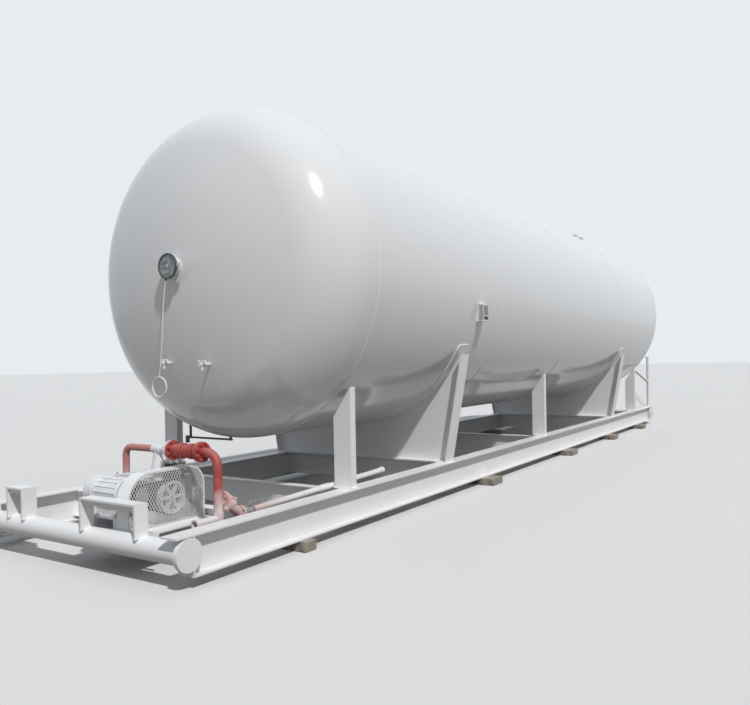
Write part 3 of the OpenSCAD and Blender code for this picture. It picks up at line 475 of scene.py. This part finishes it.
def slab(low, high):
    """Plain plate between two corners, for a bevel to finish."""
    (x0, y0, z0), (x1, y1, z1) = low, high
    corners = [(x0, y0, z0), (x1, y0, z0), (x1, y1, z0), (x0, y1, z0),
               (x0, y0, z1), (x1, y0, z1), (x1, y1, z1), (x0, y1, z1)]
    return corners, [[0, 3, 2, 1], [4, 5, 6, 7], [0, 1, 5, 4], [1, 2, 6, 5], [2, 3, 7, 6], [3, 0, 4, 7]]


up, near, far = (0, 0, 1), (0, -1, 0), (0, 1, 0)
motor_x, motor_z, wheel_x, wheel_z = 0.195, 0.500, 0.510, 0.437
lid_top, end_plate_x, crank_foot_top, crank_boss_y = 0.686, 0.756, 0.343, -0.472
motor_foot_ys, motor_bolt_z, hub_y, box_lid_top = (-0.375, -0.165), 0.337, -0.590, 0.6405
set_bolts = []
for y in (-0.397, -0.253):
    for x in (0.650, 0.720, 0.790):
        set_bolts += hex_head(datum + (x, y, lid_top), up, 0.026, 0.0175)
for y in (-0.405, -0.245):
    for z in (0.400, 0.560):
        set_bolts += hex_head(datum + (end_plate_x, y, z), (1, 0, 0), 0.022, 0.014)
for x in (0.420, 0.600):
    for y in (-0.425, -0.325, -0.225):
        set_bolts += hex_head(datum + (x, y, crank_foot_top), up, 0.014, 0.011)
set_bolts += bolt_ring(datum + (wheel_x, crank_boss_y, wheel_z), near, 0.044, 6, 0.010, 0.007)
for x in (0.093, 0.297):
    for y in motor_foot_ys:
        set_bolts += hex_head(datum + (x, y, motor_bolt_z), up, 0.018, 0.013)
piece("set_bolts", set_bolts, zinc.material)

feet = []
for x0, x1 in ((0.080, 0.108), (0.282, 0.310)):
    for y in motor_foot_ys:
        feet.append(slab(datum + (x0, y - 0.026, 0.3245), datum + (x1, y + 0.026, 0.3375)))
bell_profile = [(-0.0085, 0.110), (-0.0085, 0.1235), (-0.006, 0.126), (0.006, 0.126), (0.0085, 0.1235),
                (0.0085, 0.110)]
for y in (-0.4085, -0.1415):
    feet.append(turned(bell_profile, datum + (motor_x, y, motor_z), far, 64))
feet.append(turned([(0, 0.012), (0, 0.020), (0.014, 0.020), (0.018, 0.017), (0.018, 0.006)],
                   datum + (0.470, -0.240, 0.560), up, 24))
feet.append(slab(datum + (0.252, -0.353, 0.6335), datum + (0.350, -0.227, box_lid_top)))
piece("motor_feet_and_bells", feet, enamel.material, bevel=0.0015)

small_screws = []
for x in (0.262, 0.340):
    for y in (-0.343, -0.237):
        small_screws += hex_head(datum + (x, y, box_lid_top), up, 0.008, 0.005)
small_screws += bolt_ring(datum + (motor_x, -0.4335, motor_z), near, 0.092, 4, 0.013, 0.009)
small_screws += bolt_ring(datum + (0.510, -0.230, 0.560), up, 0.010, 1, 0.010, 0.006)
piece("small_screws", small_screws, zinc.material)

# A black disc just behind the grille wires: painted shade standing for the dark inside of the cowl's opening.
cowl_shade_disc = [turned([(0, 0.016), (0, 0.100), (0.0012, 0.100), (0.0012, 0.016)],
                 datum + (motor_x, 0.0002, motor_z), far, 48)]
piece("fan_opening_shade", cowl_shade_disc, belt_black.material)
wires = []
for r in np.linspace(0.020, 0.098, 6):
    ring = np.stack([motor_x + r * np.cos(turn_round), np.full(41, 0.0035),
                     motor_z + r * np.sin(turn_round)], 1)
    wires.append(skin(tube_rings(ring + datum, 0.0016, 6)))
for k in range(4):
    spoke = np.array([np.cos(k * np.pi / 4), 0, np.sin(k * np.pi / 4)])
    reaches = np.linspace(-0.101, 0.101, 5)[:, None] * spoke
    wires.append(skin(tube_rings(datum + (motor_x, 0.0045, motor_z) + reaches, 0.002, 6)))
piece("fan_grille", wires, zinc.material)

flywheel_nut = [turned([(0, 0.014), (0, 0.024), (0.007, 0.024), (0.0095, 0.021), (0.0095, 0.014)],
                       datum + (wheel_x, hub_y, wheel_z), near, 6)]
piece("flywheel_nut", flywheel_nut, zinc.material, "flywheel")
sheave_hub = [turned([(0, 0.014), (0, 0.030), (0.006, 0.030), (0.006, 0.0145)],
                     datum + (motor_x, hub_y, motor_z), near, 32)]
sheave_hub += bolt_ring(datum + (motor_x, -0.596, motor_z), near, 0.0225, 3, 0.007, 0.0035)
piece("sheave_hub", sheave_hub, zinc.material, "motor_sheave")

# Belt guard
# Sheet rim with a face of expanded metal, slit and stretched into diamonds and tacked to a flat border. It
# was sprayed with the rest, so the strands are white and the set shows dark between them.
mesh_white = Paint("sprayed_mesh", roughness=0.42)
sprayed_on = mesh_white.noise(20.0, 3.0)
mesh_white.feed(base_color=mesh_white.mix(sprayed_on, (0.72, 0.725, 0.72), (0.86, 0.86, 0.85)))
mesh_white.bump(mesh_white.noise(150.0, 2.0), 0.001, 0.4)


def guard_ring(grow, n=40):
    """Closed outline of the guard in the side view, rounded at its two upper corners, anticlockwise."""
    x0, x1, z0, z1 = 0.036 - grow, 0.828 + grow, 0.225 - grow, 0.678 + grow
    r0, r1 = 0.220 + grow, 0.160 + grow
    a = np.radians(np.linspace(0, 90, n))
    right_arc = np.stack([x1 - r1 + r1 * np.cos(a), z1 - r1 + r1 * np.sin(a)], 1)
    left_arc = np.stack([x0 + r0 - r0 * np.sin(a), z1 - r0 + r0 * np.cos(a)], 1)
    return np.concatenate([[[x0, z0]], [[x1, z0]], right_arc, left_arc])


def expanded_strands(pitch=0.0270, angle=59.5, wide=0.0045, thick=0.0024, middle_y=-0.6134):
    """Two families of parallel strands across the guard's face, each clipped to the outline by sampling its
    line and keeping the run of samples inside. A strand's section turns with a small sine along it, as
    stretching does."""
    ring = guard_ring(-0.008)
    edge = np.roll(ring, -1, axis=0) - ring
    lean = np.radians(angle)
    samples = np.linspace(-0.6, 0.6, 1201)[:, None]
    corner = np.array([[-1, -1], [1, -1], [1, 1], [-1, 1]])
    parts = []
    for way in (-1, 1):
        along = np.array([np.cos(lean), way * np.sin(lean)])
        across = np.array([-along[1], along[0]]) * wide / 2
        for k in range(-29, 30):
            line = np.array([0.435 + k * pitch, 0.45]) + samples * along
            cross = (edge[None, :, 0] * (line[:, None, 1] - ring[None, :, 1])
                     - edge[None, :, 1] * (line[:, None, 0] - ring[None, :, 0]))
            inside = np.flatnonzero((cross > 0).all(1))
            if len(inside) < 12:
                continue
            run = np.linspace(inside[0], inside[-1], max(5, int((inside[-1] - inside[0]) / 9)))
            x = np.interp(run, np.arange(len(line)), line[:, 0])
            z = np.interp(run, np.arange(len(line)), line[:, 1])
            tilt_of = 0.5 * np.sin(2 * np.pi * (z - 0.225) / (pitch * np.tan(lean)))
            u = corner[None, :, 0] * np.cos(tilt_of)[:, None]
            y = (middle_y + corner[None, :, 1] * thick / 2
                 + corner[None, :, 0] * np.sin(tilt_of)[:, None] * 0.0006)
            grid = np.stack([x[:, None] + u * across[0], y, z[:, None] + u * across[1]], -1) + datum
            parts.append(skin(grid[:, ::-1]))
    return parts


border_front, border_back, border_wide = -0.6152, -0.6118, 0.014
outer, inner = guard_ring(0.0), guard_ring(-border_wide)
band = np.stack([np.stack([ring[:, 0], np.full(len(ring), y), ring[:, 1]], 1)
                 for ring, y in ((outer, border_front), (outer, border_back), (inner, border_back),
                                 (inner, border_front))], 1) + datum
border = skin(np.concatenate([band, band[:1]])[:, ::-1], caps=False)
face_mesh = piece("expanded_metal_face", expanded_strands() + [border], mesh_white.material, sharp=30)
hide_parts("guard_mesh")
guard_bolts = []
for x, z in ((0.060, 0.290), (0.060, 0.400), (0.806, 0.290), (0.806, 0.420), (0.300, 0.668), (0.560, 0.668)):
    guard_bolts += hex_head(datum + (x, border_front, z), near, 0.010, 0.006)
piece("guard_bolts", guard_bolts, zinc.material)

# Pipework
# Screwed and flanged pipe in flat red oxide primer. White from the tank's last coat drifted onto it, so that
# low down it is nearly white. Studs with a nut at each end pull the flanges together.
oxide = Paint("red_oxide", roughness=0.52)
drift = oxide.noise(11.0, 5.0)
upward = oxide.step(oxide.facing("Z"), 0.1, 0.95)
foot = 1.0 - oxide.step(oxide.axis("Z") + drift * 0.25, 0.55, 0.80)
back = oxide.step(oxide.axis("Y"), -0.62, -0.30)
red = oxide.mix(oxide.noise(3.5, 3.0), (0.34, 0.032, 0.022), (0.47, 0.062, 0.045))
down_back = back * (1.0 - oxide.step(oxide.axis("Z") + drift * 0.1, 0.72, 0.86))
share = 0.03 + back * 0.30 + down_back * 0.30 + upward * 0.14 + oxide.step(drift, 0.5, 0.8) * 0.12
misted = oxide.mix(share, red, (0.74, 0.52, 0.50))
nipple = (1.0 - oxide.step(oxide.axis("X"), -6.92, -6.88)) * (1.0 - back)
white_foot = oxide.mix(nipple, (0.80, 0.73, 0.72), (0.84, 0.82, 0.815))
oxide.feed(base_color=oxide.mix(foot * 0.85, misted, white_foot), roughness=0.42 + drift * 0.2)
oxide.bump(oxide.noise(70.0, 3.0), 0.002, 0.5)
dress(oxide.material, "back_riser", "line_strainer", "front_riser")
line_white = Paint("line_overspray", roughness=0.42)
thin = line_white.noise(16.0, 5.0)
pink_end = 1.0 - line_white.step(line_white.axis("X") + thin * 0.5, -6.30, -5.60)
bare_red = line_white.mix(thin, (0.46, 0.12, 0.09), (0.62, 0.26, 0.22))
thinly = line_white.mix(line_white.step(thin, 0.5, 0.75) * 0.5, (0.80, 0.79, 0.785), (0.66, 0.52, 0.50))
line_white.feed(base_color=line_white.mix(pink_end * 0.55, thinly, bare_red), roughness=0.36 + thin * 0.2)
line_white.bump(line_white.noise(110.0, 3.0), 0.0015, 0.5)
dress(line_white.material, "check_valve", "rail_line")
dull = Paint("dull_brass_and_steel", metallic=0.35, roughness=0.46)
dull_noise = dull.noise(24.0, 4.0)
dull.feed(base_color=dull.mix(dull_noise, (0.20, 0.20, 0.20), (0.44, 0.43, 0.41)),
          roughness=0.38 + dull_noise * 0.2)
dull.bump(dull.noise(180.0, 2.0), 0.001, 0.4)
dress(dull.material, "ball_valve", "ball_valve_lever")
dark_pipe = Paint("dark_pipe", roughness=0.5)
pipe_noise = dark_pipe.noise(14.0, 4.0)
dark_pipe.feed(base_color=dark_pipe.mix(pipe_noise, (0.030, 0.032, 0.036), (0.085, 0.088, 0.092)))
dress(dark_pipe.material, "sample_line")

run_x, run_z, line_y, line_z, valve_z = 0.550, 0.820, -1.058, 0.300, 0.427
to_front, to_back = (-1, 0, 0), (1, 0, 0)
red_studs = bolt_ring(datum + (0.588, line_y, valve_z), to_front, 0.0655, 4, 0.020, 0.013)
for y, way in ((-0.560, near), (-0.520, far), (-0.900, near), (-0.860, far)):
    red_studs += bolt_ring(datum + (run_x, y, run_z), way, 0.0675, 8, 0.020, 0.014, 22.5, 0.009)
piece("strainer_studs", red_studs, oxide.material)
studs = bolt_ring(datum + (run_x, -0.360, 0.628), (0, 0, -1), 0.0585, 4, 0.016, 0.011, 45.0, 0.007)
studs += bolt_ring(datum + (0.624, line_y, valve_z), to_back, 0.0655, 4, 0.020, 0.013, 45.0, 0.009)
studs += bolt_ring(datum + (0.822, line_y, line_z), to_back, 0.0505, 4, 0.016, 0.011, 45.0, 0.007)
studs += bolt_ring(datum + (0.790, line_y, line_z), to_front, 0.0505, 4, 0.016, 0.011)
piece("flange_studs", studs, zinc.material)

bonnet_way, bonnet_seat = np.array([0.4, 0, 0.9165]), datum + (0.690, line_y, 0.400)
bonnet = [turned([(0, 0.030), (0, 0.045), (0.012, 0.045), (0.014, 0.043), (0.014, 0.020)],
                 bonnet_seat + bonnet_way * 0.034, bonnet_way, 32)]
bonnet += bolt_ring(bonnet_seat + bonnet_way * 0.048, bonnet_way, 0.034, 4, 0.011, 0.008)
piece("bonnet_cover", bonnet, line_white.material)
union_nut = [turned([(0, 0.030), (0.001, 0.046), (0.020, 0.046), (0.023, 0.040), (0.023, 0.030)],
                    datum + (0.9165, line_y, line_z), to_back, 8)]
piece("union_nut", union_nut, dull.material)

# Level gauge
# Cast case with a dark rim, bolted to a flange in the middle of the front head and sprayed white behind. Its
# bare metal dial lies behind glass and has plain ticks round the upper three quarters and a pointer's hub.
gauge_grey = Paint("gauge_casting", roughness=0.45)
gauge_noise = gauge_grey.noise(22.0, 4.0)
behind_rim = gauge_grey.step(gauge_grey.axis("X"), -6.378, -6.372)
beside_rim = gauge_grey.step(gauge_grey.axis("Y") * -1.0, 0.124, 0.128)
dark_rim = gauge_grey.mix(gauge_noise, (0.045, 0.048, 0.052), (0.13, 0.135, 0.14))
gauge_grey.feed(base_color=gauge_grey.mix(behind_rim + beside_rim, dark_rim, (0.80, 0.80, 0.795)))
gauge_grey.bump(gauge_grey.noise(150.0, 3.0), 0.0012, 0.5)
dress(gauge_grey.material, "gauge_body")
dial_metal = Paint("dial_plate", metallic=0.2, roughness=0.42)
rubbed = dial_metal.step(dial_metal.noise(26.0, 5.0), 0.40, 0.66)
dial_metal.feed(base_color=dial_metal.mix(rubbed, (0.13, 0.14, 0.145), (0.42, 0.44, 0.45)))
dial_metal.bump(dial_metal.noise(90.0, 2.0), 0.0006, 0.3)
dress(dial_metal.material, "gauge_dial")

gauge_x, ring_sides = 1.006, 72
gauge_face = datum + (gauge_x, 0, axis_z)
rim_profile = [(0.000, 0.1065), (0.000, 0.1180), (0.003, 0.1205), (0.012, 0.1205), (0.015, 0.1180),
               (0.015, 0.1065)]
bezel_ring = turned(rim_profile, gauge_face + (0.0115, 0, 0), to_front, ring_sides)[0]
bezel_ring = bezel_ring.reshape(len(rim_profile), ring_sides, 3)
bezel = skin(np.concatenate([bezel_ring, bezel_ring[:1]]), caps=False)
case = [bezel] + bolt_ring(gauge_face + (0.001, 0, 0), to_front, 0.1125, 8, 0.0075, 0.0045, 22.5)
piece("gauge_bezel", case, gauge_grey.material)
tick_white = Paint("tick_white", roughness=0.5)
tick_white.feed(base_color=tick_white.mix(tick_white.noise(80.0), (0.62, 0.63, 0.63), (0.80, 0.80, 0.79)))
ticks, tick_count, tick_end = [], 31, 0.094
for k in range(tick_count):
    a = np.radians(-135 + k * 270 / (tick_count - 1))
    length, wide = (0.016, 0.0016) if k % 5 == 0 else (0.009, 0.0010)
    out = np.array([0, np.sin(a), np.cos(a)])
    across = np.array([0, np.cos(a), -np.sin(a)])
    middle = gauge_face + (0.0077, 0, 0)
    quad = np.array([middle + out * r + across * w for r, w in
                     ((tick_end, -wide), (tick_end, wide), (tick_end - length, wide),
                      (tick_end - length, -wide))])
    ticks.append((np.concatenate([quad, quad + (0.0005, 0, 0)]),
                  [[0, 1, 2, 3], [7, 6, 5, 4], [1, 0, 4, 5], [2, 1, 5, 6], [3, 2, 6, 7], [0, 3, 7, 4]]))
piece("dial_ticks", ticks, tick_white.material)
hub = turned([(0, 0.010), (0, 0.0135), (0.0025, 0.0135), (0.0035, 0.011), (0.0035, 0.002)],
             gauge_face + (0.0032, 0, 0), to_front, 32)
piece("pointer_hub", [hub], tick_white.material)
glass = Paint("gauge_glass", roughness=0.05, alpha=0.07)
glass.feed(base_color=glass.mix(glass.noise(12.0), (0.70, 0.78, 0.78), (0.80, 0.86, 0.86)))
pane = turned([(0, 0.001), (0, 0.1068), (0.002, 0.1068), (0.0024, 0.001)], gauge_face - (0.0005, 0, 0),
              to_front, 64)
piece("gauge_glass", [pane], glass.material)
neck_bolts = bolt_ring(gauge_face + (0.070, 0, 0), to_front, 0.064, 8, 0.020, 0.013, 22.5, 0.006)
neck_bolts += bolt_ring(gauge_face + (0.004, -0.145, 0), to_front, 0.0, 1, 0.016, 0.009)
piece("gauge_flange_bolts", neck_bolts, zinc.material)

# Head valves
# Two small screwed valves low on the front head, with bar handles and plugs, sprayed white with the tank. The
# two relief valves stand on the crown, far back, each bolted down all round.
dress(enamel.material, "head_valves", "relief_valves")
trim, outlet_x = [], 1.136
for y, z in ((0.217, 1.545), (-0.292, 1.525)):
    trim.append(turned([(0, 0.012), (0, 0.021), (0.016, 0.021), (0.018, 0.018), (0.018, 0.012)],
                       datum + (1.1025, y, z), to_back, 6))
    trim.append(turned([(0, 0.010), (0, 0.015), (0.020, 0.015), (0.020, 0.010)],
                       datum + (outlet_x, y, z - 0.034), (0, 0, -1), 6))
    for end in (-1, 1):
        trim.append(turned([(0, 0.0068), (0, 0.0095), (0.008, 0.0095), (0.010, 0.007)],
                           datum + (outlet_x, y + end * 0.037, z + 0.030), (0, end, 0), 16))
crown_z = axis_z + vessel_r
for x in (12.95, 13.40):
    trim.extend(bolt_ring(datum + (x, -0.09, crown_z + 0.030), up, 0.054, 8, 0.012, 0.009, 22.5))
piece("valve_trim", trim, enamel.material)

# Data plate
# Bent white bracket that stands off the vessel on two shelves, with a bare metal plate riveted to its face
# and a narrow dark strip below that. It is set back so that the rivets end where the solid's face lies.
plate_metal = Paint("bare_plate", metallic=0.6, roughness=0.42)
brushed = plate_metal.noise(3.0, 4.0, 0.5, plate_metal.stretched(4.0, 4.0, 160.0))
plate_metal.feed(base_color=plate_metal.mix(brushed, (0.17, 0.175, 0.18), (0.34, 0.345, 0.35)))
plate_metal.bump(brushed, 0.0006, 0.3)
strip_dark = Paint("strip_dark", roughness=0.6)
strip_dark.feed(base_color=strip_dark.mix(strip_dark.noise(80.0), (0.02, 0.02, 0.022), (0.06, 0.06, 0.065)))
face_y = -vessel_r - 0.0353
bracket_x0, bracket_x1, bracket_z0, bracket_z1, sheet = 4.215, 4.345, 1.975, 2.170, 0.006
bracket = [slab(datum + (bracket_x0, face_y, bracket_z0), datum + (bracket_x1, face_y + 0.005, bracket_z1)),
           slab(datum + (bracket_x0, face_y + 0.004, bracket_z0),
                datum + (bracket_x1, -1.606, bracket_z0 + sheet)),
           slab(datum + (bracket_x0, face_y + 0.004, bracket_z1 - sheet),
                datum + (bracket_x1, -1.650, bracket_z1))]
data_bracket = piece("data_plate_bracket", bracket, skid_white.material, bevel=0.001)
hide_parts("nameplate_bracket")
for name, proud, z0, z1, finish in (("bare_data_plate", 0.0022, 2.040, 2.158, plate_metal),
                                    ("dark_strip", 0.0024, 1.990, 2.028, strip_dark)):
    piece(name, [slab(datum + (4.222, face_y - proud, z0), datum + (4.338, face_y + 0.001, z1))],
          finish.material, bevel=0.0008)
rivet_profile = [(-0.001, 0.0042), (0, 0.0042), (0.0016, 0.0036), (0.0024, 0.0018), (0.0026, 0.0003)]
rivets = []
for x in (4.229, 4.331):
    for z in (2.048, 2.150, 1.996, 2.022):
        rivets.append(turned(rivet_profile, datum + (x, face_y - 0.002, z), near, 12))
piece("plate_rivets", rivets, zinc.material)

# Floor and light
# A plain pale floor, an even sky and one broad lamp from high behind the camera's right, as the sun stood.
# Light that bounces off the floor is kept as low as it is off dark gravel.
floor_paint = Paint("pale_floor", roughness=0.9)
cloudy = floor_paint.noise(0.2)
floor_paint.feed(base_color=floor_paint.mix(cloudy, (0.78, 0.775, 0.765), (0.81, 0.805, 0.795)))
tree = floor_paint.tree
seen_by = tree.nodes.new("ShaderNodeLightPath")
gravel = tree.nodes.new("ShaderNodeBsdfDiffuse")
gravel.inputs["Color"].default_value = (0.18, 0.165, 0.145, 1)
either = tree.nodes.new("ShaderNodeMixShader")
direct = floor_paint.add("ShaderNodeMath", {"operation": "MAXIMUM"},
                         {0: Term(floor_paint, seen_by.outputs["Is Camera Ray"]),
                          1: Term(floor_paint, seen_by.outputs["Is Glossy Ray"])})
direct = floor_paint.add("ShaderNodeMath", {"operation": "MAXIMUM"},
                         {0: direct, 1: Term(floor_paint, seen_by.outputs["Is Transmission Ray"])})
tree.links.new(direct.socket, either.inputs[0])
tree.links.new(gravel.outputs[0], either.inputs[1])
tree.links.new(floor_paint.shader.outputs[0], either.inputs[2])
tree.links.new(either.outputs[0], tree.nodes["Material Output"].inputs["Surface"])
reach = 160.0
ground = bpy.data.meshes.new("floor")
ground.from_pydata([(-reach, -reach, 0), (reach, -reach, 0), (reach, reach, 0), (-reach, reach, 0)], [],
                   [(0, 1, 2, 3)])
ground.materials.append(floor_paint.material)
floor = bpy.data.objects.new("floor", ground)
bpy.context.scene.collection.objects.link(floor)

sun = bpy.data.lights.new("broad_lamp", "SUN")
sun.energy = 2.40
sun.angle = np.radians(2.2)
lamp = bpy.data.objects.new("broad_lamp", sun)
across_shine, up_shine, shine = square_to((0.42, 0.70, -1.0))
lamp.matrix_world = Matrix([[across_shine[i], -up_shine[i], -shine[i]] for i in range(3)]).to_4x4()
bpy.context.scene.collection.objects.link(lamp)

sky = bpy.data.worlds.new("even_sky")
sky.use_nodes = True
bpy.context.scene.world = sky
nodes, links = sky.node_tree.nodes, sky.node_tree.links
path = nodes.new("ShaderNodeLightPath")
lit, seen = nodes["Background"], nodes.new("ShaderNodeBackground")
lit.inputs["Color"].default_value = (0.84, 0.91, 1.0, 1)
lit.inputs["Strength"].default_value = 0.33
seen.inputs["Color"].default_value = (0.80, 0.84, 0.88, 1)
both = nodes.new("ShaderNodeMixShader")
straight, any_of = nodes.new("ShaderNodeMath"), nodes.new("ShaderNodeMath")
straight.operation = any_of.operation = "MAXIMUM"
links.new(path.outputs["Is Camera Ray"], straight.inputs[0])
links.new(path.outputs["Is Glossy Ray"], straight.inputs[1])
links.new(straight.outputs[0], any_of.inputs[0])
links.new(path.outputs["Is Transmission Ray"], any_of.inputs[1])
links.new(any_of.outputs[0], both.inputs[0])
links.new(lit.outputs[0], both.inputs[1])
links.new(seen.outputs[0], both.inputs[2])
links.new(both.outputs[0], nodes["World Output"].inputs["Surface"])

bpy.context.scene.view_settings.view_transform = "Standard"
